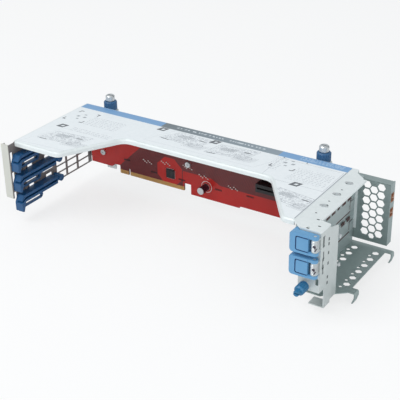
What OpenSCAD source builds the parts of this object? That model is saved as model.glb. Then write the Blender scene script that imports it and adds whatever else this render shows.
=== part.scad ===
// Riser cage bracket of a rack server: a folded sheet cage that carries a riser board,
// three card slots with plastic card guides, two blue slot latches and three thumbscrews.
// +X runs along the cage to the slot panel, +Y to the rear wall and +Z up to the cover.
// Origin: middle of the plug's key, level with the contacts' lower edge, half way through the board.

/* [Card slots] */

// distance between neighbouring card planes
slot_pitch = 22.4; // [22:0.1:23]
// height of the top card plane
top_card_z = 55; // [54.5:0.1:55.5]
// bracket centre above its card plane
bracket_rise = 6.4; // [6:0.1:6.8]
// outer face of the slot panel
panel_x = 266.6; // [266:0.1:267.5]
// width of a slot cover, a little under the 18.42 of a card bracket
bracket_w = 17.1; // [16.8:0.1:17.2]
// length of a full slot cover without its tail
bracket_len = 109; // [107:0.5:110]
// sheet of a slot cover
bracket_t = 0.86; // [0.8:0.02:0.95]
// width of the tail below a slot cover
tail_w = 10.19; // [10:0.01:10.4]
// length of that tail
tail_len = 10; // [9:0.5:11]

/* [Folded sheet] */

// thickness of the cage sheet
sheet = 1; // [0.9:0.05:1.1]
// outer radius of the bends
bend_r = 2; // [1.8:0.1:2.4]
// top face of the cover
cover_z = 72; // [71.8:0.1:73]
// left face of the cover
cover_left = -57.5; // [-58.5:0.1:-57.2]
// outer face of the rear wall
rear_y = 4.8; // [4.8:0.1:5.4]
// front edge of the two legs
leg_y = -116; // [-117:0.5:-114]
// front edge of the middle of the cover
bay_y = -53; // [-56:0.5:-50]
// front edge depth of the turned-down rim
rim_h = 5; // [4:0.5:6]
// right end of the left leg
left_leg_x = 0; // [-4:0.5:4]
// where the left slant meets the bay
bay_left_x = 36; // [33:0.5:39]
// where the right slant meets the bay
bay_right_x = 206; // [203:0.5:208]
// left end of the right leg
right_leg_x = 251.5; // [250:0.5:253]
// corner radius at the legs
leg_r = 8; // [6:0.5:10]
// corner radius at the bay
bay_r = 12; // [9:0.5:14]
// right edge of the strip over the slot panel
strip_x = 281.3; // [280.5:0.1:282.5]
// lower edge of the rear wall
rear_bottom_z = 9; // [8:0.5:10]
// thickness of the printed label
label_t = 0.2; // [0.1:0.05:0.3]
// bare rim around the label
label_rim = 3; // [2.4:0.1:4]

/* [Left end wall] */

// lower edge of the end wall
end_bottom_z = 2; // [1:0.5:3]
// front face of the end wall's flange
front_y = -124.2; // [-124.8:0.1:-123.8]
// width of that flange
end_flange_w = 9.5; // [8:0.5:11]
// height between the bars of the grid
grid_pitch = 8; // [7.6:0.1:8.4]
// width of a bar
grid_bar = 1.2; // [1:0.1:1.6]

/* [Card guides] */

// depth of a guide from the wall
guide_depth = 14.5; // [13:0.5:16]
// opening of the card groove
groove_w = 2.2; // [2:0.1:2.5]
// wall left behind the groove
groove_web = 5; // [4:0.5:6]
// height of each rail rib
rib_h = 3; // [2.5:0.1:3.4]
// lowest point of the funnel below the card plane
funnel_drop = 14.2; // [13.4:0.1:15]
// thickness of the loop bar
loop_t = 2.4; // [2:0.1:2.8]
// diameter of the round snap end
snap_d = 8; // [7:0.5:9]

/* [Riser board] */

// thickness of the board
board_t = 1.6; // [1.5:0.05:1.7]
// left edge of the board
board_left = -52; // [-54:0.5:-50]
// right edge of the board
board_right = 262; // [258:0.5:263]
// upper edge of the board
board_top = 69; // [67:0.5:69.5]
// gap between board and rear wall
standoff_h = 3; // [3:0.1:3.4]
// length of the short contact row
short_row = 11.65; // [11:0.05:12]
// length of the long contact row
long_row = 71.65; // [71:0.05:72]
// width of the key notch
key_w = 1.9; // [1.8:0.05:2]
// height of the contacts
contact_h = 4.2; // [3.8:0.1:4.6]

/* [Slot connectors] */

// length of the long connector
long_conn = 89; // [88:0.5:90]
// length of the short connector
short_conn = 56; // [55:0.5:57]
// height of a connector across the card
conn_w = 8.8; // [8:0.1:9.2]
// depth of a connector off the board
conn_h = 11.25; // [10.8:0.05:11.5]
// right end of the connectors, from the panel's outer face
conn_setback = 44.6; // [44:0.1:45.2]

/* [Vent wall and floor] */

// right face of the vent wall
vent_right = 302; // [301:0.5:303]
// pitch of the vent holes down a column
hex_pitch = 8.4; // [8.2:0.1:8.6]
// vent hole across flats
hex_af = 7.3; // [7:0.1:7.4]
// left column of vent holes
hex_x = 278; // [277.5:0.5:278.5]
// top row of vent holes
hex_z = 58.1; // [57.8:0.1:58.4]
// upper edge of the vent wall
vent_top = 63.5; // [63:0.5:64.5]
// top face of the floor
floor_z = -6; // [-6.5:0.5:-5.5]
// front edge of the floor
floor_y = -83; // [-85:0.5:-82]
// floor hole across flats
floor_hex_af = 6.4; // [6:0.1:6.8]
// floor hole pitch along the cage
floor_pitch = 12.8; // [12.5:0.1:13]
// lowest point of the floor hooks
hook_z = -17; // [-18:0.5:-16]

/* [Latches] */

// right face of the latch post
post_x = 294.1; // [293.6:0.1:294.6]
// back edge of the latch post
post_back = -90; // [-91:0.5:-89]
// left end of a latch lever
lever_left = 266.5; // [266:0.5:268]
// front face of a latch lever
lever_front = -132; // [-133:0.5:-131.5]
// height of a latch lever
lever_h = 18.4; // [18:0.1:18.6]
// radius of the hinge pin
pin_r = 1.5; // [1.3:0.1:1.7]
// running clearance around a pin or a shank
run_gap = 0.05; // [0.03:0.01:0.08]
// thickness of a lever's knuckle
knuckle_h = 3; // [2.6:0.1:3.4]
// outer radius of a latch spring
spring_r = 3.6; // [3.2:0.1:3.9]

/* [Thumbscrews] */

// diameter of the rear knobs
rear_knob_d = 14.4; // [13:0.2:15]
// top of the rear knobs
rear_knob_top = 77.5; // [76.5:0.5:78.5]
// diameter of the front knob
front_knob_d = 9.6; // [9:0.2:10.4]
// radius of a screw's thread
shank_r = 2; // [1.8:0.1:2.1]
// radius of the relieved neck inside a ferrule and a knob
neck_r = 1.6; // [1.4:0.1:1.7]
// length of the thread
thread_len = 14; // [12:0.5:15]
// length of the front screw's thread
front_thread_len = 12; // [11:0.5:13]
// outer radius of a ferrule
ferrule_r = 3.4; // [3.2:0.1:3.8]
// distance of the rear screws behind the rear wall
rear_screw_back = 7.5; // [7.4:0.1:8.5]

/* [Hidden] */

$fn = 32;
slots = [0, 1, 2];
function card_z(i) = top_card_z - i * slot_pitch;
function bracket_z(i) = card_z(i) + bracket_rise;
under_z = cover_z - sheet;
rear_in = rear_y - sheet;
board_half = board_t / 2;
hem = 5;
lap = 0.6;
tuck = 0.2;
leg_step = 3;
ear_back = -105.8;
post_front = front_y + sheet;
pivot = [post_x - 3.6, front_y - 4];
knuckle_r = 3.4;
lug_t = 1;
rear_screw_x = [-31.5, 228];
rear_screw_y = rear_y + rear_screw_back;
ear_z = 66;
thread_gap = 0.3;
front_screw = [280.5, bracket_z(2)];
board_screw_xz = [[-34.5, 20.4], [78.2, 32.2], [-34.5, 60], [78.2, 60], [246, 20.4], [246, 60]];

// ---- outlines with rounded corners ----

function unit(a, b) = (b - a) / norm(b - a);
function heading(a, b) = atan2(b[1] - a[1], b[0] - a[0]);
function turned(t) = t > 180 ? t - 360 : t < -180 ? t + 360 : t;
function turn(a, b, c) = turned(heading(b, c) - heading(a, b));
function left_of(d) = [-d[1], d[0]];
function setback(a, b, c, r) = r * tan(abs(turn(a, b, c)) / 2);
function bend_mid(a, b, c, r) =
    b - unit(a, b) * setback(a, b, c, r) + left_of(unit(a, b)) * sign(turn(a, b, c)) * r;

// the points of one corner, as an arc of n steps
function corner(a, b, c, r, n) = r == 0 ? [b] :
    [for (k = [0 : n])
        let (t = turn(a, b, c), w = heading(a, b) - 90 * sign(t) + t * k / n)
        bend_mid(a, b, c, r) + r * [cos(w), sin(w)]];

function rounded(p, r, n = 5) = let (m = len(p))
    [for (i = [0 : m - 1]) each corner(p[(i + m - 1) % m], p[i], p[(i + 1) % m], r[i], n)];

// each edge i of outline p, which starts at point i, moved inwards by o[i]
function moved_corner(a, b, c, o1, o2) =
    let (n1 = left_of(unit(a, b)), n2 = left_of(unit(b, c)), det = n1[0] * n2[1] - n1[1] * n2[0])
    b + [o1 * n2[1] - o2 * n1[1], n1[0] * o2 - n2[0] * o1] / det;

function moved_in(p, o) = let (m = len(p))
    [for (i = [0 : m - 1]) moved_corner(p[(i + m - 1) % m], p[i], p[(i + 1) % m], o[(i + m - 1) % m], o[i])];

// a flat shape drawn as X,Z and standing with its back at y, and one drawn as Y,Z from x
module standing(y, t) {
    translate([0, y + t, 0])
        rotate([90, 0, 0])
            linear_extrude(t) children();
}

module sideways(x, t) {
    translate([x, 0, 0])
        rotate([90, 0, 90])
            linear_extrude(t) children();
}

module window(x0, x1, y0, y1, r = 0.8) {
    polygon(rounded([[x0, y0], [x1, y0], [x1, y1], [x0, y1]], [r, r, r, r], 3));
}

// the section of an edge bent down by h, from its outer face inwards, with a tongue inside the flat
function bend_arc(r, from, to, n = 4) =
    [for (k = [0 : n]) let (w = from + (to - from) * k / n) [bend_r + r * cos(w), -bend_r + r * sin(w)]];
function edge_section(h) = concat([[0, -h], [sheet, -h]], bend_arc(bend_r - sheet, 180, 90),
    [[bend_r + lap, -sheet / 2]], bend_arc(bend_r, 90, 180));

// the places along a path with rounded corners, each with the normal that points into the sheet
function inward(w) = [cos(w + 90), sin(w + 90)];
function stations(p, r, n = 5) = let (last = len(p) - 1)
    [[p[0], inward(heading(p[0], p[1]))],
        for (i = [1 : last - 1])
            let (arc = corner(p[i - 1], p[i], p[i + 1], r[i], n), t = turn(p[i - 1], p[i], p[i + 1]))
            for (k = [0 : n]) [arc[k], inward(heading(p[i - 1], p[i]) + t * k / n)],
        [p[last], inward(heading(p[last - 1], p[last]))]];

// the bent edge swept along such a path, with its top at z
module bent_edge(p, r, h, z) {
    section = edge_section(h);
    m = len(section);
    path = stations(p, r);
    last = len(path) - 1;
    points = [for (s = path, q = section) [s[0][0] + s[1][0] * q[0], s[0][1] + s[1][1] * q[0], z + q[1]]];
    sides = [for (i = [0 : last - 1], j = [0 : m - 1])
        [i * m + j, (i + 1) * m + j, (i + 1) * m + (j + 1) % m, i * m + (j + 1) % m]];
    ends = [[for (j = [0 : m - 1]) j], [for (j = [m - 1 : -1 : 0]) last * m + j]];
    polyhedron(points = points, faces = concat(sides, ends));
}

// ---- top cover and label ----

rim_start = [cover_left + 1.7, leg_y];
corner_tab = 1.2;
cover_front = [[cover_left, leg_y], [left_leg_x, leg_y], [bay_left_x, bay_y],
    [bay_right_x, bay_y], [right_leg_x, leg_y], [264, leg_y]];
cover_right = [[273, front_y], [post_x, front_y], [post_x, ear_back], [strip_x, ear_back + 2.2],
    [strip_x, -12], [271.2, -4], [269, rear_y]];
cover_outline = concat(cover_front, cover_right, [[cover_left, rear_y]]);
front_r = [0, leg_r, bay_r, bay_r, leg_r, 0];

module ear_hole(x) {
    window(x - 9, x + 9, ear_z - 19, ear_z, 1.5);
}

module rear_ear(x) {
    difference() {
        translate([0, 0, ear_z - sheet])
            linear_extrude(sheet) union() {
                translate([x, rear_screw_y]) circle(8.5);
                translate([x - 8.5, rear_in]) square([17, rear_screw_y - rear_in]);
            }
        translate([x, rear_screw_y, ear_z - 2 * sheet]) cylinder(r = ferrule_r, h = 3 * sheet);
    }
}

module top_cover() {
    rim = bend_r - tuck;
    inner = moved_in(cover_outline, [rim, rim, rim, rim, rim, 0, 0, 0, 0, 0, 0, 0, rim, 0]);
    tab = [for (y = [1, rim]) [cover_left + corner_tab, leg_y + y]];
    flat = concat([[cover_left, leg_y + 1]], tab, [for (i = [1 : len(inner) - 1]) inner[i]]);
    color([0.82, 0.84, 0.83]) union() {
        difference() {
            translate([0, 0, under_z])
                linear_extrude(sheet)
                    polygon(rounded(flat, [0.6, 0, 0, leg_r - rim, bay_r + rim, bay_r + rim, leg_r - rim, 0,
                        1, 2, 1, 2, 3, 2, 0, 0]));
            translate([280, front_y + 3.2, under_z - sheet]) cylinder(r = 1.4, h = 3 * sheet);
        }
        bent_edge(concat([rim_start], [for (i = [1 : 5]) cover_front[i]]), front_r, rim_h, cover_z);
        translate([269, rear_y, cover_z])
            rotate([90, 0, -90])
                linear_extrude(269 - cover_left) polygon(edge_section(rim_h));
        difference() {
            standing(rear_in, sheet) difference() {
                polygon([[cover_left, rear_bottom_z], [-35, rear_bottom_z], [-34, 0], [-22, 0], [-21, rear_bottom_z],
                    [269, rear_bottom_z], [269, cover_z - rim_h], [cover_left, cover_z - rim_h]]);
                for (x = rear_screw_x) ear_hole(x);
            }
        }
        for (x = rear_screw_x) rear_ear(x);
    }
}

label_outline = [[cover_left, leg_y], [left_leg_x, leg_y], [bay_left_x, bay_y], [bay_right_x, bay_y],
    [right_leg_x, leg_y], [263, leg_y], [263, rear_y], [cover_left, rear_y]];

module instruction_label() {
    rim = label_rim;
    edge = moved_in(label_outline, [rim, rim, rim, rim, rim, 0, bend_r + 0.2, 1.5]);
    color([0.93, 0.95, 0.95])
        translate([0, 0, cover_z])
            linear_extrude(label_t)
                polygon(rounded(edge, [1, leg_r - rim, bay_r + rim, bay_r + rim, leg_r - rim, 1, 1, 1]));
}

// ---- left end wall ----

wall_in = cover_left + sheet;
tab_gap = 0.15;

module slot_cutouts(z) {
    window(-123.2, -119.6, z - 5, z + 7);
    window(-100, -92.5, z + 2.4, z + 7.6);
    window(-73.5, -64, z + 1.8, z + 6.8);
    window(-104, -88, z - 12, z - 8);
    window(-78, -61, z - 12, z - 4.6);
}

module end_wall_shape() {
    rows = [0 : floor((under_z - 5 - end_bottom_z) / grid_pitch) - 1];
    difference() {
        polygon([[front_y, end_bottom_z + 12], [-118, end_bottom_z], [rear_in, end_bottom_z],
            [rear_in, under_z], [leg_y, under_z], [leg_y, under_z - 0.5], [front_y, under_z - 0.5]]);
        for (k = rows, y = [[-55.7, -40.2], [-37.7, -21.7], [-19.2, -1.2]])
            window(y[0], y[1], end_bottom_z + grid_bar + k * grid_pitch, end_bottom_z + (k + 1) * grid_pitch, 0.6);
        slot_cutouts(card_z(0));
        slot_cutouts(card_z(1));
        window(-100, -92.5, card_z(2) + 2.4, card_z(2) + 7.6);
        window(-73.5, -64, card_z(2) + 1.8, card_z(2) + 6.8);
        translate([-124, 0]) square([4.4, card_z(2) + 7]);
    }
}

module left_end_wall() {
    flange_left = cover_left - end_flange_w;
    color([0.62, 0.61, 0.60]) union() {
        sideways(cover_left, sheet) end_wall_shape();
        translate([cover_left, leg_y + bend_r, under_z - sheet]) cube([8, rear_in - leg_y - bend_r, sheet]);
        standing(front_y, sheet)
            window(flange_left, wall_in, 10, under_z - 0.5, 1);
        translate([flange_left, front_y, 11]) cube([sheet, hem, under_z - 12.5]);
        for (z = [card_z(1), card_z(2)])
            translate([wall_in - 0.01, -108, z + groove_w / 2 + rib_h + tab_gap])
                cube([1.6, 3.6, slot_pitch - funnel_drop - groove_w / 2 - rib_h - 2 * tab_gap]);
    }
}

// ---- card guides ----

module guide_profile(z) {
    polygon(rounded([[-119, z + groove_w / 2 + rib_h], [-123, z - 4], [-123, z - funnel_drop + 2.4], [-119.5, z - funnel_drop],
        [-86, z - funnel_drop], [-83.6, z - funnel_drop + loop_t], [-83.6, z - 2], [-66, z - groove_w / 2 - rib_h],
        [-66, z + groove_w / 2 + rib_h]],
        [0.6, 1, 0.8, 0.8, 1, 0.8, 0.5, 1, 0.6], 3));
}

module card_guide(z) {
    top = z + groove_w / 2 + rib_h;
    rib = z - groove_w / 2 - rib_h;
    color([0.10, 0.30, 0.55]) difference() {
        union() {
            sideways(wall_in, guide_depth) difference() {
                guide_profile(z);
                window(-111, -86, z - funnel_drop + loop_t, rib, 0.8);
                translate([-83.7, rib - 12]) square([20, 12]);
            }
            sideways(wall_in, guide_depth - 4) window(-67, -60, z - 1.6, z + 1.6, 0.4);
            sideways(wall_in, guide_depth - 2) translate([-59.6, z]) circle(d = snap_d);
        }
        sideways(wall_in + groove_web, guide_depth) {
            translate([-112, z - groove_w / 2]) square([60, groove_w]);
            polygon([[-124, z - 6], [-124, z + 2], [-112, z + groove_w / 2], [-112, z - groove_w / 2]]);
            window(-110, -69, z + groove_w / 2 + 1.1, z + groove_w / 2 + 1.9, 0.3);
            window(-110, -69, rib + 1.1, rib + 1.9, 0.3);
        }
    }
}

module card_guide_top() {
    card_guide(card_z(0));
}

module card_guide_middle() {
    card_guide(card_z(1));
}

module card_guide_bottom() {
    card_guide(card_z(2));
}

// ---- riser board and what it carries ----

long_end = key_w / 2 + long_row;
short_end = -key_w / 2 - short_row;

module board_shape() {
    difference() {
        polygon([[board_left, 5.3], [-24, 5.3], [-21, 7.3], [-20, 9], [short_end, 9], [short_end, 0.6],
            [short_end + 0.6, 0], [-key_w / 2, 0], [-key_w / 2, 7.2], [0, 7.7], [key_w / 2, 7.2], [key_w / 2, 0],
            [long_end - 0.6, 0], [long_end, 0.6], [long_end, 9], [81, 9], [81, -2.5], [140.7, -2.5], [142, -0.5],
            [board_right, -0.5], [board_right, board_top], [board_left, board_top]]);
        for (p = board_screw_xz) translate(p) circle(r = 1.7);
    }
}

module riser_board() {
    color([0.70, 0.12, 0.08])
        standing(-board_half, board_t) board_shape();
}

module contact_row(x0, n) {
    for (k = [0 : n - 1], side = [-board_half - 0.05, board_half])
        translate([x0 + k, side, 0.3]) cube([0.7, 0.05, contact_h]);
}

module edge_contacts() {
    color([0.80, 0.62, 0.38]) {
        contact_row(-key_w / 2 - 11.2, 11);
        contact_row(key_w / 2 + 0.5, 71);
    }
}

module slot_connector(len, z) {
    right = panel_x - conn_setback;
    mouth = -board_half - conn_h;
    color([0.08, 0.08, 0.09]) difference() {
        union() {
            translate([right - len, mouth, z - conn_w / 2]) cube([len, conn_h, conn_w]);
            translate([right - len - 2, -board_half - 5, z - 2.5]) cube([2, 5, 5]);
        }
        translate([right - len + 1.5, mouth - 1, z - 0.9]) cube([len - 16.4, 9, 1.8]);
        translate([right - 13.1, mouth - 1, z - 0.9]) cube([11.6, 9, 1.8]);
    }
}

module slot_connector_long() {
    slot_connector(long_conn, card_z(0));
}

module slot_connector_short() {
    slot_connector(short_conn, card_z(1));
}

module controller_chip() {
    color([0.12, 0.10, 0.10]) {
        translate([50.3, -board_half - 1.5, 11]) cube([10, 1.5, 10]);
    }
}

module capacitor_can() {
    color([0.85, 0.85, 0.86])
        translate([100.7, -board_half, 11.7])
            rotate([90, 0, 0])
                union() {
                    cylinder(r = 3.8, h = 12.2);
                    cylinder(r = 4.1, h = 1.4);
                }
}

module capacitor_sleeve() {
    color([0.20, 0.08, 0.14])
        translate([100.7, -board_half - 1.4, 11.7])
            rotate([90, 0, 0])
                difference() {
                    cylinder(r = 4, h = 10.2);
                    translate([0, 0, -1]) cylinder(r = 3.8, h = 13);
                }
}

module board_screws() {
    color([0.78, 0.78, 0.76])
        for (p = board_screw_xz)
            translate([p[0], -board_half, p[1]])
                rotate([90, 0, 0])
                    difference() {
                        union() {
                            cylinder(r = 3.1, h = 2);
                            translate([0, 0, -board_t - standoff_h + 0.2]) cylinder(r = 1.5, h = board_t + standoff_h);
                        }
                        translate([0, 0, 1]) cylinder(r = 1.3, h = 2, $fn = 6);
                    }
}

module board_standoffs() {
    color([0.75, 0.75, 0.72])
        for (p = board_screw_xz)
            standing(board_half, rear_in - board_half) difference() {
                translate(p) circle(r = 2.9);
                translate(p) circle(r = 1.5);
            }
}

// ---- slot panel and its covers ----

module slot_window(i) {
    z = bracket_z(i);
    window(-97, -10, z - 6.8, z + 6.8, 1);
    window(-8.6, 2.4, z - 8.6, z + 4.2, 0.6);
}

module slot_panel() {
    color([0.60, 0.62, 0.62]) union() {
        sideways(panel_x - sheet, sheet) difference() {
            polygon([[-101, floor_z], [rear_in, floor_z], [rear_in, under_z], [-116, under_z],
                [-116, bracket_z(1) - 11], [-101, bracket_z(1) - 14]]);
            for (i = slots) slot_window(i);
        }
        translate([panel_x - sheet, -104, under_z - sheet]) cube([13, 100, sheet]);
    }
}

module slot_cover(i, front) {
    z = bracket_z(i);
    half = bracket_w / 2;
    tail_z = z - 7.4;
    vents = [[-58, -50], [-47, -40], [-36, -30], [-25, -16], [-13, -9.6]];
    color([0.74, 0.75, 0.75])
        sideways(panel_x, bracket_t) difference() {
            polygon([[front, z - half], [-8, z - half], [-8, tail_z], [-8 + tail_len, tail_z],
                [-8 + tail_len, tail_z + tail_w], [-8, tail_z + tail_w], [-8, z + half], [front, z + half]]);
            for (v = vents) window(v[0], v[1], z + 6, z + 8, 0.5);
        }
}

module bent_cover(i) {
    half = bracket_w / 2;
    front = -8 - bracket_len;
    color([0.74, 0.75, 0.75]) union() {
        slot_cover(i, front);
        translate([panel_x, front - bracket_t + 0.01, bracket_z(i) - half]) cube([11.43, bracket_t, bracket_w]);
    }
}

module slot_cover_top() {
    bent_cover(0);
}

module slot_cover_middle() {
    bent_cover(1);
}

module slot_cover_bottom() {
    slot_cover(2, -100);
}

// ---- vent wall, floor and latch post ----

module hex(x, y, af, turn = 0) {
    translate([x, y]) rotate(turn) circle(r = af / sqrt(3), $fn = 6);
}

module vent_wall() {
    col = hex_pitch * cos(30);
    bottom = -2;
    color([0.58, 0.62, 0.61]) union() {
        standing(rear_y, sheet) difference() {
            translate([255, bottom]) square([vent_right - 255, vent_top - bottom]);
            for (k = [0 : 6]) {
                hex(hex_x, hex_z - k * hex_pitch, hex_af);
                hex(hex_x + 2 * col, hex_z - k * hex_pitch, hex_af);
            }
            for (k = [0 : 5]) hex(hex_x + col, hex_z - (k + 0.5) * hex_pitch, hex_af);
            hex(hex_x + col, hex_z - 6.5 * hex_pitch + 0.6, hex_af - 1.8);
        }
        translate([255, rear_y, vent_top - sheet]) cube([vent_right - 255, 9, sheet]);
        translate([vent_right - sheet, rear_y, bottom]) cube([sheet, 10, vent_top - bottom]);
    }
}

module contact_springs() {
    color([0.66, 0.45, 0.33])
        for (z = [28, 44])
            translate([vent_right, rear_y + 2, z]) union() {
                cube([0.3, 6, 9]);
                translate([0, 1.5, 1]) cube([1.2, 3, 2]);
                translate([0, 1.5, 6]) cube([1.2, 3, 2]);
            }
}

module hook(y0, y1) {
    x = 303;
    path = [[x - 1, floor_z], [309, floor_z], [310, floor_z - 1.4], [310, floor_z - 5], [308, hook_z],
        [306.6, hook_z], [308.8, floor_z - 5.2], [308.8, floor_z - 1.4], [308.4, floor_z - sheet], [x - 1, floor_z - sheet]];
    translate([0, y1, 0])
        rotate([90, 0, 0])
            linear_extrude(y1 - y0) polygon(path);
}

module floor_plate() {
    color([0.55, 0.60, 0.59]) union() {
        translate([0, 0, floor_z - sheet])
            linear_extrude(sheet) difference() {
                polygon([[panel_x - sheet, rear_y + sheet], [panel_x - sheet, -101], [284, -101], [post_x + 0.6, post_back],
                    [303, floor_y], [303, rear_y + sheet]]);
                for (k = [0 : 5]) {
                    hex(296.1, -6.7 - k * floor_pitch, floor_hex_af, 30);
                    hex(292.8, -6.7 - (k + 0.5) * floor_pitch, 3.2, 30);
                }
                for (k = [0 : 3]) hex(273.8, -6.2 - k * floor_pitch, floor_hex_af, 30);
                for (k = [0 : 2]) hex(270.2, -12.6 - k * floor_pitch, 3.8, 30);
            }
        hook(0, rear_y + sheet);
        hook(floor_y + 0.4, floor_y + 9);
    }
}

module return_face() {
    difference() {
        polygon(rounded([[front_y, 12], [-113.7, 12], [-113.7, floor_z - 3], [-101.7, floor_z - 3], [-101.7, floor_z],
            [post_back, floor_z], [post_back, 64], [-104, 68], [-107, under_z - sheet], [front_y, under_z - sheet]],
            [2, 0, 0, 0, 0, 1, 2, 1, 0, 0], 3));
        for (z = [59, 53.8, 45.5, 35, 21, 14.5]) window(-109.4, -107.6, z - 1.2, z + 1.4, 0.4);
        for (z = [62, 40.5]) {
            window(-120.6, -119, z - 6.5, z + 4.5, 0.4);
            window(-119.2, -116.6, z + 2.5, z + 4.5, 0.4);
            window(-119.2, -116.6, z - 6.5, z - 4.8, 0.4);
        }
    }
}

module lug(z) {
    translate([0, 0, z])
        linear_extrude(lug_t) difference() {
            union() {
                translate(pivot) circle(r = 3);
                translate([pivot[0] - 3, pivot[1]]) square([6, post_front - pivot[1]]);
            }
            translate(pivot) circle(r = pin_r);
        }
}

function lever_mid(i) = bracket_z(i) - 0.6;
function lug_low(i) = lever_mid(i) - lever_h / 2 + knuckle_h + 0.2;
function lug_high(i) = lever_mid(i) + lever_h / 2 - knuckle_h - 0.2 - lug_t;

module latch_post() {
    left = 273.4;
    color([0.84, 0.85, 0.84]) difference() {
        union() {
            standing(front_y, sheet) difference() {
                polygon(rounded([[left, 12], [post_x, 12], [post_x, under_z], [left, under_z]], [4, 0, 0, 0]));
                window(post_x - 3.8, post_x - 1, 19.5, 26, 0.4);
            }
            sideways(post_x - sheet, sheet) return_face();
            translate([left, post_front - 0.5, under_z - sheet]) cube([post_x - left, ear_back - 1 - front_y, sheet]);
            translate([279, -113.7, floor_z - 3]) cube([post_x - 279, 12, sheet]);
            for (i = [0, 1]) {
                lug(lug_low(i));
                lug(lug_high(i));
            }
        }
        translate([front_screw[0], front_y + 2 * sheet, front_screw[1]])
            rotate([90, 0, 0]) cylinder(r = ferrule_r, h = 3 * sheet);
    }
}

module rivet(x, y, z) {
    translate([x, y, z]) {
        cylinder(r = 1.6, h = 0.6);
    }
}

module cage_rivets() {
    color([0.86, 0.87, 0.86]) {
        for (y = [-28, -54.1, -79.8], x = [271.4, 276.1]) rivet(x, y, cover_z);
        for (z = [51.5, 23])
            translate([post_x, post_back + 2.2, z])
                rotate([0, 90, 0]) cylinder(r = 1.9, h = 1.2);
        for (z = [54, 30, 8])
            translate([262, rear_y + sheet, z])
                rotate([-90, 0, 0]) cylinder(r = 1.9, h = 0.8);
    }
}

// ---- latches ----

module lever_plan() {
    body_right = pivot[0] - 4.7;
    hook_right = 273.4 - 0.4;
    back = front_y - 0.4;
    polygon(rounded([[lever_left, lever_front], [body_right, lever_front], [body_right, back], [hook_right, back],
        [hook_right, back + 4], [lever_left, back + 4]], [4, 0.4, 0.4, 0, 0.6, 3]));
}

module lever_front_shape(z) {
    polygon(rounded([[lever_left, z - lever_h / 2], [300, z - lever_h / 2], [300, z + lever_h / 2],
        [lever_left, z + lever_h / 2]], [4.5, 0, 0, 4.5], 6));
}

module knuckle(z) {
    translate([0, 0, z])
        linear_extrude(knuckle_h) union() {
            translate(pivot) circle(r = knuckle_r);
            translate([pivot[0] - 4.8, pivot[1] - knuckle_r]) square([4.8, 2 * knuckle_r]);
        }
}

module latch_lever(i) {
    z = lever_mid(i);
    low = z - lever_h / 2;
    pad_left = 273.5;
    groove = 1.2;
    color([0.41, 0.63, 0.78]) difference() {
        union() {
            intersection() {
                translate([0, 0, low]) linear_extrude(lever_h) lever_plan();
                standing(lever_front - 1, 16) lever_front_shape(z);
            }
            knuckle(low);
            knuckle(low + lever_h - knuckle_h);
        }
        standing(lever_front - 1, 2) difference() {
            window(pad_left, 290, z - 7, z + 7, 2);
            window(pad_left + groove, 291, z - 7 + groove, z + 7 - groove, 1);
        }
        translate([pivot[0], pivot[1], low - 1]) cylinder(r = pin_r + run_gap, h = lever_h + 2);
    }
}

module latch_pin(i) {
    color([0.80, 0.80, 0.80])
        translate([pivot[0], pivot[1], lever_mid(i) - lever_h / 2 + 0.3])
            cylinder(r = pin_r, h = lever_h - 0.6);
}

// close-wound spring around the pin, each turn as a plain ring
module latch_spring(i) {
    z0 = lug_low(i) + lug_t;
    tall = lug_high(i) - z0;
    turns = 7;
    wire = tall / turns;
    color([0.83, 0.83, 0.82])
        translate([pivot[0], pivot[1], z0])
            rotate_extrude() union() {
                translate([pin_r, 0]) square([spring_r - wire / 2 - pin_r, tall]);
                for (k = [0 : turns - 1]) translate([spring_r - wire / 2, (k + 0.5) * wire]) circle(d = wire, $fn = 12);
            }
}

module latch_lever_upper() {
    latch_lever(0);
}

module latch_pin_upper() {
    latch_pin(0);
}

module latch_spring_upper() {
    latch_spring(0);
}

module latch_lever_lower() {
    latch_lever(1);
}

module latch_pin_lower() {
    latch_pin(1);
}

module latch_spring_lower() {
    latch_spring(1);
}

// ---- thumbscrews ----

module front_place() {
    translate([front_screw[0], front_y, front_screw[1]])
        rotate([90, 0, 0]) children();
}

module front_knob() {
    r = front_knob_d / 2;
    color([0.16, 0.45, 0.62])
        front_place() difference() {
            union() {
                translate([0, 0, 1.6]) cylinder(r = r, h = 9.4);
                translate([0, 0, 11]) cylinder(r1 = r, r2 = r - 1.4, h = 1.4);
                translate([0, 0, 12.4]) cylinder(r = 2.8, h = 4.4);
            }
            translate([0, 0, 1]) cylinder(r = neck_r, h = 13);
            for (k = [0 : 13]) rotate(k * 360 / 14) translate([r + 0.25, 0, 3]) cylinder(r = 0.6, h = 12, $fn = 16);
            translate([-4, -0.6, 15.4]) cube([8, 1.2, 3]);
        }
}

module front_screw_shaft() {
    color([0.78, 0.78, 0.76])
        front_place()
            union() {
                translate([0, 0, -sheet - thread_gap - front_thread_len]) cylinder(r = shank_r, h = front_thread_len);
                translate([0, 0, -sheet - thread_gap]) cylinder(r = neck_r, h = 14 + sheet + thread_gap);
            }
}

module ferrule(length) {
    difference() {
        union() {
            cylinder(r = ferrule_r, h = length);
            translate([0, 0, sheet]) cylinder(r = ferrule_r + 1, h = length - sheet);
        }
        translate([0, 0, -1]) cylinder(r = neck_r + run_gap, h = length + 2);
    }
}

module front_ferrule() {
    color([0.72, 0.72, 0.70])
        front_place()
            translate([0, 0, -sheet]) ferrule(sheet + 1.4);
}

module rear_place(k) {
    translate([rear_screw_x[k], rear_screw_y, ear_z - sheet]) children();
}

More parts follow.
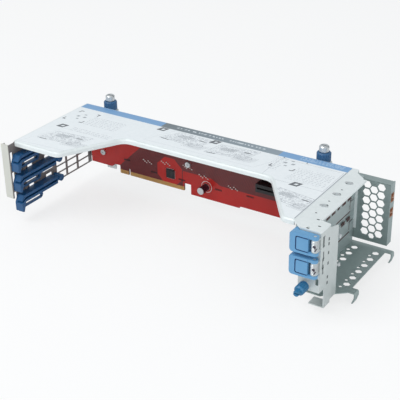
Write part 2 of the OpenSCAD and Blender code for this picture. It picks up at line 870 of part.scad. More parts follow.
module rear_knob(k) {
    r = rear_knob_d / 2;
    base = 3;
    tall = rear_knob_top - ear_z + sheet - base;
    color([0.20, 0.36, 0.52])
        rear_place(k) difference() {
            union() {
                translate([0, 0, base]) cylinder(r = r, h = tall - 1.2);
                translate([0, 0, base + tall - 1.2]) cylinder(r1 = r, r2 = r - 1, h = 1.2);
            }
            translate([0, 0, base - 1]) cylinder(r = neck_r, h = tall + 2);
            for (a = [0 : 15]) rotate(a * 22.5) translate([r + 0.4, 0, base - 1]) cylinder(r = 0.9, h = tall + 2, $fn = 16);
        }
}

module rear_screw(k) {
    shoulder = rear_knob_top - ear_z + sheet;
    color([0.80, 0.80, 0.80])
        rear_place(k) difference() {
            union() {
                translate([0, 0, -thread_gap - thread_len]) cylinder(r = shank_r, h = thread_len);
                translate([0, 0, -thread_gap]) cylinder(r = neck_r, h = shoulder + thread_gap);
                translate([0, 0, shoulder]) cylinder(r = 4, h = 1);
                translate([0, 0, shoulder + 1]) cylinder(r = 5, h = 4.5);
                translate([0, 0, shoulder + 5.5]) cylinder(r1 = 5, r2 = 4, h = 1);
            }
            translate([-6, -0.7, shoulder + 4.6]) cube([12, 1.4, 4]);
        }
}

module rear_ferrule(k) {
    color([0.72, 0.72, 0.70])
        rear_place(k) ferrule(sheet + 1.8);
}

module rear_left_knob() {
    rear_knob(0);
}

module rear_left_screw() {
    rear_screw(0);
}

module rear_left_ferrule() {
    rear_ferrule(0);
}

module rear_right_knob() {
    rear_knob(1);
}

module rear_right_screw() {
    rear_screw(1);
}

module rear_right_ferrule() {
    rear_ferrule(1);
}

top_cover();
instruction_label();
left_end_wall();
card_guide_top();
card_guide_middle();
card_guide_bottom();
riser_board();
edge_contacts();
slot_connector_long();
slot_connector_short();
controller_chip();
capacitor_can();
capacitor_sleeve();
board_screws();
board_standoffs();
slot_panel();
slot_cover_top();
slot_cover_middle();
slot_cover_bottom();
vent_wall();
contact_springs();
floor_plate();
latch_post();
cage_rivets();
latch_lever_upper();
latch_pin_upper();
latch_spring_upper();
latch_lever_lower();
latch_pin_lower();
latch_spring_lower();
front_knob();
front_screw_shaft();
front_ferrule();
rear_left_knob();
rear_left_screw();
rear_left_ferrule();
rear_right_knob();
rear_right_screw();
rear_right_ferrule();
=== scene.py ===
import math

import bpy
from mathutils import Matrix, Vector


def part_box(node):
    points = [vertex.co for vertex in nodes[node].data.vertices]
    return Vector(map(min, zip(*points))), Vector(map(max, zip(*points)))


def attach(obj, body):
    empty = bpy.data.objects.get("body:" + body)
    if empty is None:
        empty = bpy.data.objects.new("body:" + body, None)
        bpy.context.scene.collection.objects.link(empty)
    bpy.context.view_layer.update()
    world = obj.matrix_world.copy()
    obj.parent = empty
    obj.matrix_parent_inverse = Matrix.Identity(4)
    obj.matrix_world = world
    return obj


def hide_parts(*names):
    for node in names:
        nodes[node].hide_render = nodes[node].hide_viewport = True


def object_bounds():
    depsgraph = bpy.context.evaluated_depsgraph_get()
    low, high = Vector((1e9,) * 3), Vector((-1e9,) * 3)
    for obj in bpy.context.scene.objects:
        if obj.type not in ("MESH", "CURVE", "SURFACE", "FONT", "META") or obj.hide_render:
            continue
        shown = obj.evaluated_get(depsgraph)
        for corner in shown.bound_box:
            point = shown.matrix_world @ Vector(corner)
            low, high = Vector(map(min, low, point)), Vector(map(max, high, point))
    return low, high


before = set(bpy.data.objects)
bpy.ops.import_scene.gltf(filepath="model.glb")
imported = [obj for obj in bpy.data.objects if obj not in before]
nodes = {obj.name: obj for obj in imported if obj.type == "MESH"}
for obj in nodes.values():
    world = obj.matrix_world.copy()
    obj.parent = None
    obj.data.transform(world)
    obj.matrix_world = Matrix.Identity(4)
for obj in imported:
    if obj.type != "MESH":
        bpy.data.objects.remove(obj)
cad_low, cad_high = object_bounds()
MM = 0.001

# ---------------------------------------------------------------- studio
# The camera stands off the right front corner, above the cage. The cage stands on a pale table
# under one wide key light, a fill light and an even sky.
scene = bpy.context.scene
scene.view_settings.view_transform = "Standard"

azimuth, elevation, roll = (math.radians(a) for a in (33.14, 27.20, -0.93))
flat = math.cos(elevation)
forward = Vector((-math.sin(azimuth) * flat, math.cos(azimuth) * flat, -math.sin(elevation)))
level = Vector((math.cos(azimuth), math.sin(azimuth), 0))
upward = level.cross(forward)
side = level * math.cos(roll) + upward * math.sin(roll)
top = upward * math.cos(roll) - level * math.sin(roll)
camera_data = bpy.data.cameras.new("camera")
camera_data.sensor_width = 36
camera_data.lens = 89.54
camera_data.shift_x = -0.0065
camera_data.shift_y = -0.0123
camera_data.clip_end = 20
camera = bpy.data.objects.new("camera", camera_data)
scene.collection.objects.link(camera)
turn = Matrix((side, top, -forward)).transposed().to_4x4()
camera.matrix_world = Matrix.Translation((0.6068, -0.7839, 0.4813)) @ turn
scene.camera = camera


class Val:
    """A shader value: wraps a socket, so that sums and masks are written as plain expressions."""

    def __init__(self, tree, socket):
        self.tree, self.socket = tree, socket

    def _math(self, operation, *others):
        step = self.tree.nodes.new("ShaderNodeMath")
        step.operation = operation
        for place, item in zip(step.inputs, (self,) + others):
            if isinstance(item, Val):
                self.tree.links.new(item.socket, place)
            else:
                place.default_value = item
        return Val(self.tree, step.outputs[0])

    def _swap(self, operation, first):
        step = self.tree.nodes.new("ShaderNodeMath")
        step.operation = operation
        step.inputs[0].default_value = first
        self.tree.links.new(self.socket, step.inputs[1])
        return Val(self.tree, step.outputs[0])

    def __add__(self, o):
        return self._math("ADD", o)

    def __radd__(self, o):
        return self._math("ADD", o)

    def __sub__(self, o):
        return self._math("SUBTRACT", o)

    def __rsub__(self, o):
        return self._swap("SUBTRACT", o)

    def __mul__(self, o):
        return self._math("MULTIPLY", o)

    def __truediv__(self, o):
        return self._math("DIVIDE", o)

    def __gt__(self, o):
        return self._math("GREATER_THAN", o)

    def __lt__(self, o):
        return self._math("LESS_THAN", o)

    def abs(self):
        return self._math("ABSOLUTE")

    def max(self, o):
        return self._math("MAXIMUM", o)

    def min(self, o):
        return self._math("MINIMUM", o)

    def wrap(self, period):
        return self._math("PINGPONG", period / 2)

    def sin(self):
        return self._math("SINE")

    def power(self, o):
        return self._math("POWER", o)


class Paint:
    """One material under construction, with positions in millimetres in the cage's own frame."""

    def __init__(self, name):
        self.material = bpy.data.materials.new(name)
        self.material.use_nodes = True
        self.tree = self.material.node_tree
        self.shader = self.tree.nodes["Principled BSDF"]
        self.place = self.node("ShaderNodeTexCoord").outputs["Object"]
        parts = self.node("ShaderNodeSeparateXYZ", {}, {0: self.place})
        self.x, self.y, self.z = (Val(self.tree, parts.outputs[i]) * 1000 for i in range(3))

    def node(self, kind, settings=None, inputs=None):
        made = self.tree.nodes.new(kind)
        for key, value in (settings or {}).items():
            setattr(made, key, value)
        for key, value in (inputs or {}).items():
            socket = made.inputs[key]
            if isinstance(value, Val):
                self.tree.links.new(value.socket, socket)
            elif isinstance(value, bpy.types.NodeSocket):
                self.tree.links.new(value, socket)
            else:
                socket.default_value = value
        return made

    def noise(self, scale, detail=3.0, rough=0.5):
        made = self.node("ShaderNodeTexNoise", {},
                         {"Vector": self.place, "Scale": scale, "Detail": detail, "Roughness": rough})
        return Val(self.tree, made.outputs["Fac"])

    def cells(self, scale):
        made = self.node("ShaderNodeTexVoronoi", {}, {"Vector": self.place, "Scale": scale})
        parts = self.node("ShaderNodeSeparateColor", {}, {0: made.outputs["Color"]})
        return Val(self.tree, parts.outputs[0])

    def mix(self, mask, under, over):
        step = self.node("ShaderNodeMix", {"data_type": "RGBA", "clamp_factor": True})
        for socket, item in ((step.inputs[0], mask), (step.inputs[6], under), (step.inputs[7], over)):
            if isinstance(item, Val):
                self.tree.links.new(item.socket, socket)
            elif isinstance(item, bpy.types.NodeSocket):
                self.tree.links.new(item, socket)
            elif isinstance(item, tuple):
                socket.default_value = item + (1.0,) if len(item) == 3 else item
            else:
                socket.default_value = item
        return step.outputs[2]

    def finish(self, colour, rough, metal=0.0, bump=None, depth=0.0002):
        for name, item in (("Base Color", colour), ("Roughness", rough), ("Metallic", metal)):
            socket = self.shader.inputs[name]
            if isinstance(item, Val):
                self.tree.links.new(item.socket, socket)
            elif isinstance(item, bpy.types.NodeSocket):
                self.tree.links.new(item, socket)
            elif isinstance(item, tuple):
                socket.default_value = item + (1.0,)
            else:
                socket.default_value = item
        if bump is not None:
            made = self.node("ShaderNodeBump", {}, {"Strength": 1.0, "Distance": depth, "Height": bump})
            self.tree.links.new(made.outputs[0], self.shader.inputs["Normal"])
        return self.material


def rgb(r, g, b):
    """A colour written as it shows on screen, 0 to 255, as the linear values that shaders take."""
    shares = (r / 255, g / 255, b / 255)
    return tuple(c / 12.92 if c <= 0.04045 else ((c + 0.055) / 1.055) ** 2.4 for c in shares)


table = Paint("table_top")
table_mesh = bpy.data.meshes.new("table_top")
reach = 6.0
corners = ((-reach, -reach), (reach, -reach), (reach, reach), (-reach, reach))
table_mesh.from_pydata([corner + (cad_low[2],) for corner in corners], [], [(0, 1, 2, 3)])
table_top = bpy.data.objects.new("table_top", table_mesh)
scene.collection.objects.link(table_top)
table.finish(rgb(243, 244, 245), 0.9)
paths = table.node("ShaderNodeLightPath")
glow = table.node("ShaderNodeEmission", {}, {"Color": (1, 1, 1, 1), "Strength": 1.0})
seen = Val(table.tree, paths.outputs["Is Camera Ray"]) * 0.72
blend_floor = table.node("ShaderNodeMixShader", {},
                         {0: seen, 1: table.shader.outputs[0], 2: glow.outputs[0]})
table.tree.links.new(blend_floor.outputs[0], table.tree.nodes["Material Output"].inputs[0])
table_mesh.materials.append(table.material)

sky = bpy.data.worlds.new("sky")
sky.use_nodes = True
scene.world = sky
sky_tree = sky.node_tree
dim = sky_tree.nodes["Background"]
dim.inputs[0].default_value = (0.93, 0.97, 1.0, 1)
dim.inputs[1].default_value = 0.62
bright = sky_tree.nodes.new("ShaderNodeBackground")
bright.inputs[1].default_value = 1.0
bright.inputs[0].default_value = (1, 1, 1, 1)
sky_paths = sky_tree.nodes.new("ShaderNodeLightPath")
sky_mix = sky_tree.nodes.new("ShaderNodeMixShader")
sky_tree.links.new(sky_paths.outputs["Is Camera Ray"], sky_mix.inputs[0])
sky_tree.links.new(dim.outputs[0], sky_mix.inputs[1])
sky_tree.links.new(bright.outputs[0], sky_mix.inputs[2])
sky_tree.links.new(sky_mix.outputs[0], sky_tree.nodes["World Output"].inputs[0])

middle = (Vector(cad_low) + Vector(cad_high)) / 2


def lamp(name, place, size, power):
    data = bpy.data.lights.new(name, "AREA")
    data.size, data.energy = size, power
    made = bpy.data.objects.new(name, data)
    made.location = place
    made.rotation_euler = (middle - Vector(place)).to_track_quat("-Z", "Y").to_euler()
    scene.collection.objects.link(made)


lamp("key_light", (-0.5, -1.0, 1.6), 1.2, 16)
lamp("fill_light", (1.3, -0.9, 0.7), 1.0, 5)

# ---------------------------------------------------------------- cage sheet
# Galvanised steel sheet, stamped and folded: cover with rear wall, slot panel, vent wall, floor and
# latch post. The zinc has faint crystals, and the rolled surface has a soft gloss.


def galvanised(name, light, dark, rough=0.42, metal=0.35):
    sheet = Paint(name)
    cloud = sheet.noise(55, 4)
    spangle = sheet.cells(330)
    tone = cloud * 0.7 + spangle * 0.3
    colour = sheet.mix(tone, dark, light)
    gloss = rough - 0.08 + spangle * 0.12 + cloud * 0.06
    crystal_depth = 0.00003
    return sheet.finish(colour, gloss, metal, cloud * 0.5 + spangle * 0.2, crystal_depth)


def dress(node, material):
    slots = nodes[node].data.materials
    slots.clear()
    slots.append(material)


# One sheet in lit and shaded copies: the cover is painted brightest as the lit top, the latch post a
# lighter tone as a lit face, and the slot panel, vent wall and floor darker as painted shade.
lit_cover_zinc = galvanised("lit_cover_zinc", rgb(238, 243, 243), rgb(224, 231, 231), 0.42, 0.22)
dress("top_cover", lit_cover_zinc)
shaded_panel_zinc = galvanised("shaded_panel_zinc", rgb(178, 190, 190), rgb(160, 174, 174), 0.40, 0.45)
dress("slot_panel", shaded_panel_zinc)
dress("vent_wall", galvanised("shaded_vent_zinc", rgb(160, 174, 173), rgb(143, 158, 157), 0.40, 0.45))
dress("floor_plate", galvanised("shaded_floor_zinc", rgb(168, 182, 180), rgb(150, 165, 163), 0.40, 0.45))
dress("latch_post", galvanised("lit_post_zinc", rgb(216, 221, 220), rgb(198, 205, 203)))
filler_zinc = galvanised("filler_zinc", rgb(190, 200, 200), rgb(172, 184, 184), 0.36, 0.5)
for name in ("slot_cover_top", "slot_cover_middle", "slot_cover_bottom"):
    dress(name, filler_zinc)


def prisms(name, parts, material):
    """One mesh of straight prisms: each part is a list of Y,Z points in order and the X span it fills."""
    verts, faces = [], []
    for outline, x0, x1 in parts:
        first, count = len(verts), len(outline)
        verts += [(x * MM, y * MM, z * MM) for x in (x0, x1) for y, z in outline]
        faces.append(tuple(first + k for k in reversed(range(count))))
        faces.append(tuple(first + count + k for k in range(count)))
        faces += [(first + k, first + (k + 1) % count, first + count + (k + 1) % count, first + count + k)
                  for k in range(count)]
    mesh = bpy.data.meshes.new(name)
    mesh.from_pydata(verts, [], faces)
    mesh.materials.append(material)
    made = bpy.data.objects.new(name, mesh)
    scene.collection.objects.link(made)
    return made


def repeat(name, places, size, material, body="cage", sides=0, turn=(0, 0, 0)):
    """Geometry Nodes put one small box, or one disc with that many sides, at each place, in millimetres."""
    tree = bpy.data.node_groups.new(name, "GeometryNodeTree")
    tree.interface.new_socket("Places", in_out="INPUT", socket_type="NodeSocketGeometry")
    size_input = tree.interface.new_socket("Size", in_out="INPUT", socket_type="NodeSocketVector")
    turn_input = tree.interface.new_socket("Turn", in_out="INPUT", socket_type="NodeSocketVector")
    tree.interface.new_socket("Result", in_out="OUTPUT", socket_type="NodeSocketGeometry")
    entry, leave = tree.nodes.new("NodeGroupInput"), tree.nodes.new("NodeGroupOutput")
    if sides:
        shape = tree.nodes.new("GeometryNodeMeshCylinder")
        shape.inputs["Vertices"].default_value = sides
        shape.inputs["Radius"].default_value = 0.5
        shape.inputs["Depth"].default_value = 1
    else:
        shape = tree.nodes.new("GeometryNodeMeshCube")
    put = tree.nodes.new("GeometryNodeInstanceOnPoints")
    real = tree.nodes.new("GeometryNodeRealizeInstances")
    paint = tree.nodes.new("GeometryNodeSetMaterial")
    paint.inputs["Material"].default_value = material
    for source, target in ((entry.outputs["Places"], put.inputs["Points"]),
                           (shape.outputs["Mesh"], put.inputs["Instance"]),
                           (entry.outputs["Size"], put.inputs["Scale"]),
                           (entry.outputs["Turn"], put.inputs["Rotation"]),
                           (put.outputs[0], real.inputs[0]), (real.outputs[0], paint.inputs["Geometry"]),
                           (paint.outputs[0], leave.inputs[0])):
        tree.links.new(source, target)
    points = bpy.data.meshes.new(name + "_places")
    points.from_pydata([tuple(c * MM for c in place) for place in places], [], [])
    made = bpy.data.objects.new(name, points)
    scene.collection.objects.link(made)
    modifier = made.modifiers.new("repeat", "NODES")
    modifier.node_group = tree
    modifier[size_input.identifier] = tuple(c * MM for c in size)
    modifier[turn_input.identifier] = turn
    ready = made.evaluated_get(bpy.context.evaluated_depsgraph_get())
    mesh = bpy.data.meshes.new_from_object(ready)
    made.modifiers.clear()
    made.data = mesh
    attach(made, body)
    return made


# ---------------------------------------------------------------- clinch joints and seam marks
# The strip over the slot panel is clinched down to the panel's flange. Each clinch leaves two round
# pits side by side, small gauge holes lie between them, and the ear in front has its own slots; pits,
# holes and slots are flat marks painted dark as the shade inside them.
# painted shade: one dark material for the shade inside pits, holes and slots
hole_shade = Paint("clinch_pit_shade")
hole_shade.finish(hole_shade.mix(hole_shade.noise(300), rgb(66, 74, 76), rgb(92, 100, 102)), 0.6, 0.2)
strip_top, strip_middle, mark_t = 72.0, 273.9, 0.06
clinch_y = (-27.6, -53.2, -78.5)
gauge_y = (-43.1, -68.9, -94.4)
pits = [(strip_middle + side_x * 2.25, y + side_x * 1.1, strip_top) for y in clinch_y for side_x in (-1, 1)]
repeat("clinch_pits", pits, (1.9, 3.6, mark_t), hole_shade.material, sides=20, turn=(0, 0, 0.4))
gauges = [(273.8, y, strip_top) for y in gauge_y]
repeat("gauge_holes", gauges, (2.0, 1.5, mark_t), hole_shade.material, sides=16)
ear_marks = [(287.3, -114.6, strip_top), (280.2, -122.4, strip_top), (281.0, -104.4, strip_top)]
repeat("ear_slot", ear_marks, (3.2, 1.6, mark_t), hole_shade.material, sides=16)
ring_zinc = galvanised("ring_zinc", rgb(206, 213, 214), rgb(190, 198, 200))
rings_at = [(strip_middle, y, strip_top) for y in clinch_y]
repeat("clinch_rings", rings_at, (7.4, 6.6, mark_t / 2), ring_zinc, sides=28)

# the strip's outer edge is folded down by two millimetres
lip_outline = [(-103.4, 70.0), (-13.5, 70.0), (-13.5, 71.97), (-103.4, 71.97)]
lip = prisms("strip_lip", [(lip_outline, 281.0, 284.7)], lit_cover_zinc)
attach(lip, "cage")

# dark vents along the upper edge of each slot cover, one short one among four long ones, dark with painted
# shade; under each cover a painted shadow strip, and an upright line of painted shade where its tail goes
# under
vent_dark = Paint("vent_shadow")
vent_dark.finish(vent_dark.mix(vent_dark.noise(160), rgb(48, 40, 40), rgb(96, 62, 60)), 0.7)
cover_face = 267.5
for cover, z in (("upper", 47.2), ("lower", 24.9)):
    vents = [(cover_face, y, z) for y in (-55.6, -44.3, -22.4, -10.6)]
    repeat("cover_vents_" + cover, vents, (0.1, 7.4, 4.2), vent_dark.material)
    short = [(cover_face, -33.9, z)]
    repeat("cover_vent_short_" + cover, short, (0.1, 4.4, 3.2), vent_dark.material)
    shadow = [(cover_face, -22, z - 15.4)]
    repeat("cover_shadow_" + cover, shadow, (0.08, 30, 1.3), vent_dark.material)
    tail_shade = [(cover_face, -8.2, z - 8.0)]
    repeat("tail_edge_shade_" + cover, tail_shade, (0.1, 0.8, 10.0), vent_dark.material)

# stamped slots down the latch post, drawn as dark marks of painted shadow: one column by its fold and one
# of small holes behind
post_face = 294.13
fold_slot_shadows = [(post_face, -118.4, z) for z in (60.5, 46.5, 33.5)]
repeat("post_fold_slot_shadows", fold_slot_shadows, (mark_t, 1.5, 9.5), hole_shade.material)
hole_shadow_column = [(post_face, -108.6, z) for z in (59, 54.4, 45.5, 35, 21, 15.2)]
repeat("post_hole_shadows", hole_shadow_column, (mark_t, 2.1, 2.9), hole_shade.material)

# ---------------------------------------------------------------- left end wall
# The same galvanised sheet, punched as a grid and folded. Its inside is painted duller, darker and
# warmer as shade, and its front flange is a pale zinc.
end_wall = Paint("end_wall_zinc")
flange = end_wall.x < -57.6
inside_shade_tone = end_wall.mix(end_wall.noise(60, 4), rgb(118, 113, 112), rgb(138, 133, 131))
wall_tone_with_shade = end_wall.mix(flange, inside_shade_tone, rgb(214, 214, 206))
end_wall.finish(wall_tone_with_shade, 0.5 + end_wall.noise(180) * 0.08, 0.3)
dress("left_end_wall", end_wall.material)

# ---------------------------------------------------------------- label
# Printed film over the whole cover: a blue band with a grey middle along the back, and fitting
# drawings in thin grey lines on white.
label = Paint("label_print")


def bar(x0, x1, y0, y1):
    """A mask of one upright rectangle of the print, with its edges in millimetres."""
    return box_mask(label.x - (x0 + x1) / 2, label.y - (y0 + y1) / 2, abs(x1 - x0), abs(y1 - y0))


def box_mask(u, v, width, height):
    return (u.abs() - width / 2).max(v.abs() - height / 2) < 0


def frame_mask(u, v, width, height, line):
    return box_mask(u, v, width, height) * (1 - box_mask(u, v, width - 2 * line, height - 2 * line))


def ring_mask(u, v, radius, squash, line):
    reach = (u * u + v * v * squash * squash).power(0.5) - radius
    return reach.abs() < line


class Drawing:
    """One fitting drawing of the print: its own slanted axes about its middle, in millimetres."""

    def __init__(self, cx, cy, degrees, lean=0.0):
        c, s = math.cos(math.radians(degrees)), math.sin(math.radians(degrees))
        self.u = (label.x - cx) * c + (label.y - cy) * s
        self.v = (label.y - cy) * c - (label.x - cx) * s
        self.u = self.u - self.v * lean

    def slab(self, x, y, w, h):
        return box_mask(self.u - x, self.v - y, w, h)

    def outline(self, x, y, w, h, line=0.35):
        return frame_mask(self.u - x, self.v - y, w, h, line)

    def ring(self, x, y, radius, squash=1.0, line=0.3):
        return ring_mask(self.u - x, self.v - y, radius, squash, line)

    def hatch(self, pitch, share, slope=0.0):
        return (self.v + self.u * slope).wrap(pitch) < pitch / 2 * share


def any_of(masks):
    """One mask that is on wherever one of the given masks is."""
    found = masks[0]
    for mask in masks[1:]:
        found = found.max(mask)
    return found


grain = label.noise(260, 2)
scribble = label.noise(520, 4, 0.7)

# light, middle and dark inks are gathered drawing by drawing, then laid over the paper
light_ink, grey_ink, dark_ink = [], [], []
fitting_steps = ((-12, -84, 4, 0.5), (97, -24, -3, 0.6), (152, -26, 5, 0.4), (246, -84, -8, 0.3))
for cx, cy, degrees, lean in fitting_steps:
    one = Drawing(cx, cy, degrees, lean)
    chassis = one.slab(-6, 2, 44, 22)
    light_ink += [chassis * (scribble > 0.52), one.slab(16, -8, 20, 9) * one.hatch(1.6, 0.5)]
    grey_ink += [one.outline(-6, 2, 44, 22), one.outline(-2, 0, 30, 12),
                 one.slab(-12, 5, 16, 7) * one.hatch(1.2, 0.55, 0.4),
                 one.ring(14, -6, 7, 1.6), one.outline(16, -8, 22, 10, 0.25)]
    dark_ink += [one.slab(7, 6, 7, 1.4), one.slab(-20, -9, 9, 1.2)]

# step marks: dark squares with a pale dot, and corner brackets with a pair of studs between them
for cx, cy in ((-40, -59), (56, -13), (120, -13), (233, -55)):
    mark = Drawing(cx, cy, 0, 0.35)
    dark_ink.append(mark.slab(0, 0, 9, 8) * (1 - mark.slab(0.4, 0, 3, 3)))
for cx, cy in ((-38, -30), (207, -19)):
    group = Drawing(cx, cy, 0, 0.2)
    for side_x in (-1, 1):
        for side_y in (-1, 1):
            dark_ink.append(group.slab(11 * side_x, 13 * side_y, 4, 1.3))
            dark_ink.append(group.slab(12.4 * side_x, 11 * side_y, 1.3, 5))
        grey_ink += [group.slab(4.2 * side_x, 0, 3.4, 3), group.slab(0, 6 * side_x, 3, 2)]

# faint captions as broken lines, framed panels and a light plan view
for cx, cy, w, h in ((-4, -34, 42, 24), (238, -36, 40, 26), (-2, -60, 50, 10), (196, -24, 12, 30)):
    text = Drawing(cx, cy, 0)
    words = (text.u * 1.7 + label.noise(180, 1) * 14).sin() > -0.25
    light_ink.append(text.slab(0, 0, w, h) * text.hatch(3.2, 0.34) * words)
panel = Drawing(228, -34, 0)
grey_ink += [panel.outline(0, 0, 66, 44, 0.3), bar(262.1, 263.2, -114, 4)]
light_ink.append(Drawing(6, -84, 4, 0.5).outline(-8, 0, 84, 46, 0.3))
light_ink.append(Drawing(126, -26, 0, 0.5).outline(0, 0, 128, 36, 0.3))

band = bar(-56, 263, -8.5, 5)
grey_band = bar(50, 189, -8.5, 5)
lettered = Drawing(120, -2.4, 0)
dashes = lettered.slab(0, 0, 108, 2.2) * ((lettered.u * 1.35 + label.noise(120, 1) * 16).sin() > -0.1)
notice = Drawing(234, -2.2, 0)
lines = notice.slab(0, 0, 46, 5.4) * notice.hatch(2.2, 0.42) * ((notice.u * 1.6 + grain * 12).sin() > -0.5)
ink = label.mix(grain, rgb(229, 235, 238), rgb(241, 245, 247))
ink = label.mix(any_of(light_ink) * 0.85, ink, rgb(196, 201, 206))
ink = label.mix(any_of(grey_ink) * 0.9, ink, rgb(158, 164, 170))
ink = label.mix(any_of(dark_ink) * 0.9, ink, rgb(74, 79, 86))
ink = label.mix(band, ink, rgb(120, 163, 206))
band_grey = label.mix((label.x - 120) / 140 + 0.5, rgb(112, 122, 128), rgb(142, 156, 166))
ink = label.mix(grey_band, ink, band_grey)
ink = label.mix(dashes, ink, rgb(206, 214, 219))
ink = label.mix(lines, ink, rgb(178, 205, 230))
label.finish(ink, 0.36)
dress("instruction_label", label.material)

# ---------------------------------------------------------------- card guides
# Three deep blue nylon mouldings clipped to the end wall. Each is an open channel with a foot below,
# a loop behind it and a round stud, and these slim ones stand in for the plain ones of the part.
guide = Paint("guide_nylon")
guide.finish(guide.mix(guide.noise(90), rgb(18, 66, 108), rgb(34, 92, 142)), 0.3)
wall_face = -56.5
plate_t, rail_d = 2.6, 9.5
channel, lip_z = 4.1, 1.1
stud_y, stud_r, stud_sides = -59.6, 3.9, 16
for name in ("card_guide_top", "card_guide_middle", "card_guide_bottom"):
    dress(name, guide.material)
    low_corner, high_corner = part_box(name)
    foot = low_corner[2] / MM
    z = foot + 14.2
    plate, rail = wall_face + plate_t, wall_face + rail_d
    upper, lower = z + channel, z - channel
    toe = [(-123, z - 13.4), (-120.6, foot)]
    angles = [k * math.pi / 8 for k in range(stud_sides)]
    stud = [(stud_y + stud_r * math.cos(a), z + stud_r * math.sin(a)) for a in angles]
    parts = [([(-119, lower), (-66, lower), (-66, upper), (-119, upper)], wall_face, plate),
             ([(-117, z + lip_z), (-66, z + lip_z), (-66, upper), (-117, upper)], plate, rail),
             ([(-117, lower), (-66, lower), (-66, z - lip_z), (-117, z - lip_z)], plate, rail),
             (toe + [(-119, lower), (-119, upper), (-123, z - 4)], wall_face, plate),
             ([(-120.6, foot), (-86, foot), (-84, foot + 2), (-120, foot + 2)], wall_face, plate),
             ([(-86, foot + 1), (-83.6, foot + 2.4), (-83.6, lower), (-86, lower)], wall_face, plate),
             (toe + [(-117, lower), (-117, z - lip_z), (-123, z - 4.4)], plate, rail),
             ([(-123, z - 1.5), (-117, z + lip_z), (-117, upper), (-119.4, upper)], plate, rail),
             ([(-66, z - 1.6), (-61, z - 1.6), (-61, z + 1.6), (-66, z + 1.6)], wall_face, rail - 1),
             (stud, wall_face, rail)]
    piece = prisms(name.replace("card_", "slotted_"), parts, guide.material)
    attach(piece, "cage")
    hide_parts(name)

# ---------------------------------------------------------------- latches and knobs
# Two light blue push levers turn on pins in the post's lugs, each pushed back by a coil spring.
# The three thumbscrews have moulded plastic knobs pressed on their steel screws.
latch = Paint("latch_plastic")
latch.finish(latch.mix(latch.noise(70), rgb(92, 148, 192), rgb(108, 163, 204)), 0.34)
for name in ("latch_lever_upper", "latch_lever_lower"):
    dress(name, latch.material)

# the deep groove round each push pad, and the dark eye and leg of each hinge spring
groove_blue = Paint("groove_shadow")
groove_blue.finish(groove_blue.mix(groove_blue.noise(90), rgb(8, 44, 92), rgb(18, 62, 114)), 0.5)
eye = Paint("spring_eye")
eye.finish(eye.mix(eye.noise(300), rgb(40, 32, 48), rgb(74, 66, 80)), 0.5)
pad_front = -131.3
for lever, mid in (("upper", 60.8), ("lower", 38.4)):
    body = "latch_" + lever
    side_groove = [(274.1, pad_front, mid)]
    repeat("pad_groove_side_" + lever, side_groove, (1.1, 0.5, 13.6), groove_blue.material,
           body)
    end_grooves = [(279.6, pad_front, mid - 6.4), (279.6, pad_front, mid + 6.4)]
    repeat("pad_groove_ends_" + lever, end_grooves, (11.0, 0.5, 1.1), groove_blue.material,
           body)
    repeat("spring_eye_" + lever, [(291.6, -131.85, mid + 0.6)], (2.8, 2.8, 0.12), eye.material,
           sides=18, turn=(math.pi / 2, 0, 0))
    repeat("spring_leg_" + lever, [(292.9, -131.7, mid - 2.2)], (0.9, 0.5, 3.4), eye.material,
           turn=(0, 0.5, 0))

knob = Paint("knob_plastic")
knob.finish(knob.mix(knob.noise(120), rgb(38, 104, 146), rgb(52, 122, 164)), 0.35)
dress("front_knob", knob.material)
rear_knob = Paint("rear_knob_plastic")
rear_knob.finish(rear_knob.mix(rear_knob.noise(120), rgb(40, 84, 126), rgb(58, 104, 146)), 0.4)
for name in ("rear_left_knob", "rear_right_knob"):
    dress(name, rear_knob.material)

# ---------------------------------------------------------------- riser board
# A glass-fibre board in red lacquer, with darker copper areas under it, an upper corner painted in the
# copper red as painted light, a bare ring at a screw hole and a gold edge plug. Connectors, chip and
# capacitor are soldered on and screws hold it to the cage.
board = Paint("board_lacquer")
weave = board.noise(70)
# painted light: the board's upper corner is painted in the copper red as if lit
lit_corner = (board.z - 10.7) - (board.x + 11.5) * 0.963 > 0
plane_edge = ((board.x - 106).max(0).min(12) * -0.49) + 22.8
lower_plane = (board.z < plane_edge) * (board.x > 71)
chip_u = (board.x - 54).abs()
chip_v = (board.z - 18).abs()
chip_plane = chip_u.max(chip_v).max((chip_u + chip_v) * 0.72) < 16
# the copper planes and the painted lit corner share this one mask and one red
pours_and_lit_corner = lit_corner.max(lower_plane).max(chip_plane)
traces = ((board.x + board.z * 0.6).wrap(3.4) < 0.32) * (board.noise(28) > 0.5) * (board.z > 8)
bare_red = board.mix(weave, rgb(96, 30, 32), rgb(112, 38, 38))
copper_and_lit_red = board.mix(weave, rgb(178, 24, 18), rgb(196, 32, 24))
red = board.mix(pours_and_lit_corner, bare_red, copper_and_lit_red)
red = board.mix(traces * 0.35, red, rgb(150, 44, 40))
ring_x = board.x - 100.7
ring_z = board.z - 11.7
rings = (ring_x * ring_x + ring_z * ring_z).power(0.5) - 6.2
red = board.mix(rings.abs() < 0.35, red, rgb(228, 205, 200))
edge = (board.y.abs() < 0.79)
red = board.mix(edge, red, rgb(58, 14, 14))
band_z = (board.z < 4.6) * (board.x > -12.6) * (board.x < 72.6)
red = board.mix(band_z * (1 - edge), red, rgb(188, 140, 84))
board.finish(red, 0.3)
dress("riser_board", board.material)
gold = Paint("contact_gold")
gold.finish(gold.mix(gold.noise(200), rgb(206, 160, 98), rgb(224, 182, 120)), 0.3, 0.8)
dress("edge_contacts", gold.material)
black = Paint("connector_plastic")
black.finish(black.mix(black.noise(200), rgb(26, 26, 28), rgb(36, 36, 38)), 0.45)
for name in ("slot_connector_long", "slot_connector_short", "controller_chip"):
    dress(name, black.material)
sleeve = Paint("sleeve_film")
sleeve.finish(rgb(58, 24, 40), 0.3)
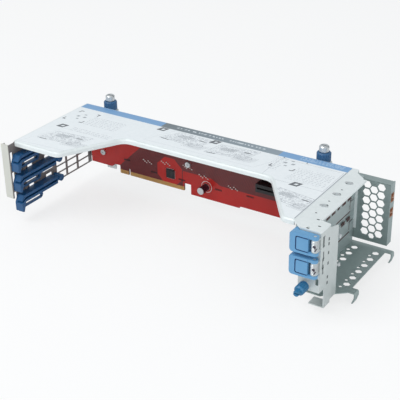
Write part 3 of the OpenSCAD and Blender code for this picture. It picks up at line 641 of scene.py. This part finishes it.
dress("capacitor_sleeve", sleeve.material)

# ---------------------------------------------------------------- plated steel
# Bright plated steel parts: screws, standoffs, rivets, hinge pins, springs and ferrules, turned or
# wound, and the capacitor's drawn can.
plated = Paint("plated_steel")
bright_plate = plated.mix(plated.noise(240), rgb(196, 200, 202), rgb(222, 225, 226))
plated.finish(bright_plate, 0.28 + plated.noise(400) * 0.1, 0.8)
for name in ("board_screws", "board_standoffs", "capacitor_can", "cage_rivets",
             "latch_pin_upper", "latch_pin_lower", "latch_spring_upper", "latch_spring_lower",
             "front_screw_shaft", "front_ferrule", "rear_left_screw", "rear_left_ferrule",
             "rear_right_screw", "rear_right_ferrule"):
    dress(name, plated.material)

# ---------------------------------------------------------------- small parts on the board
# Ceramic capacitors, resistors and chip leads, soldered to the board's front face, and the copper
# contact springs that are riveted to the cage.
front_face = -0.8
ceramic = Paint("ceramic_parts")
ceramic.finish(ceramic.mix(ceramic.noise(400), rgb(206, 186, 178), rgb(232, 218, 212)), 0.4)
clusters = ((20, 24), (44, 28), (72, 30), (92, 24), (128, 20))
small = [(x + 2.1 * k, front_face - 0.3, z - 1.3 * (k % 3)) for x, z in clusters for k in range(6)]
repeat("ceramic_capacitors", small, (1.3, 0.7, 0.9), ceramic.material)
rows = ((-6, 18), (30, 12), (66, 12), (112, 12), (150, 14))
resistors = [(x + 1.7 * k, front_face - 0.25, z) for x, z in rows for k in range(5)]
dark_body = Paint("resistor_body")
dark_body.finish(dark_body.mix(dark_body.noise(300), rgb(36, 32, 32), rgb(58, 50, 50)), 0.4)
repeat("resistors", resistors, (0.9, 0.5, 1.6), dark_body.material)
leads = [(50.9 + 1.05 * k, front_face - 0.2, z) for k in range(9) for z in (10.5, 21.5)]
leads += [(x, front_face - 0.2, 11.8 + 1.05 * k) for k in range(9) for x in (49.8, 60.8)]
repeat("chip_leads", leads, (0.5, 0.4, 0.9), plated.material)
copper = Paint("spring_copper")
copper.finish(rgb(170, 120, 92), 0.35, 0.8)
dress("contact_springs", copper.material)
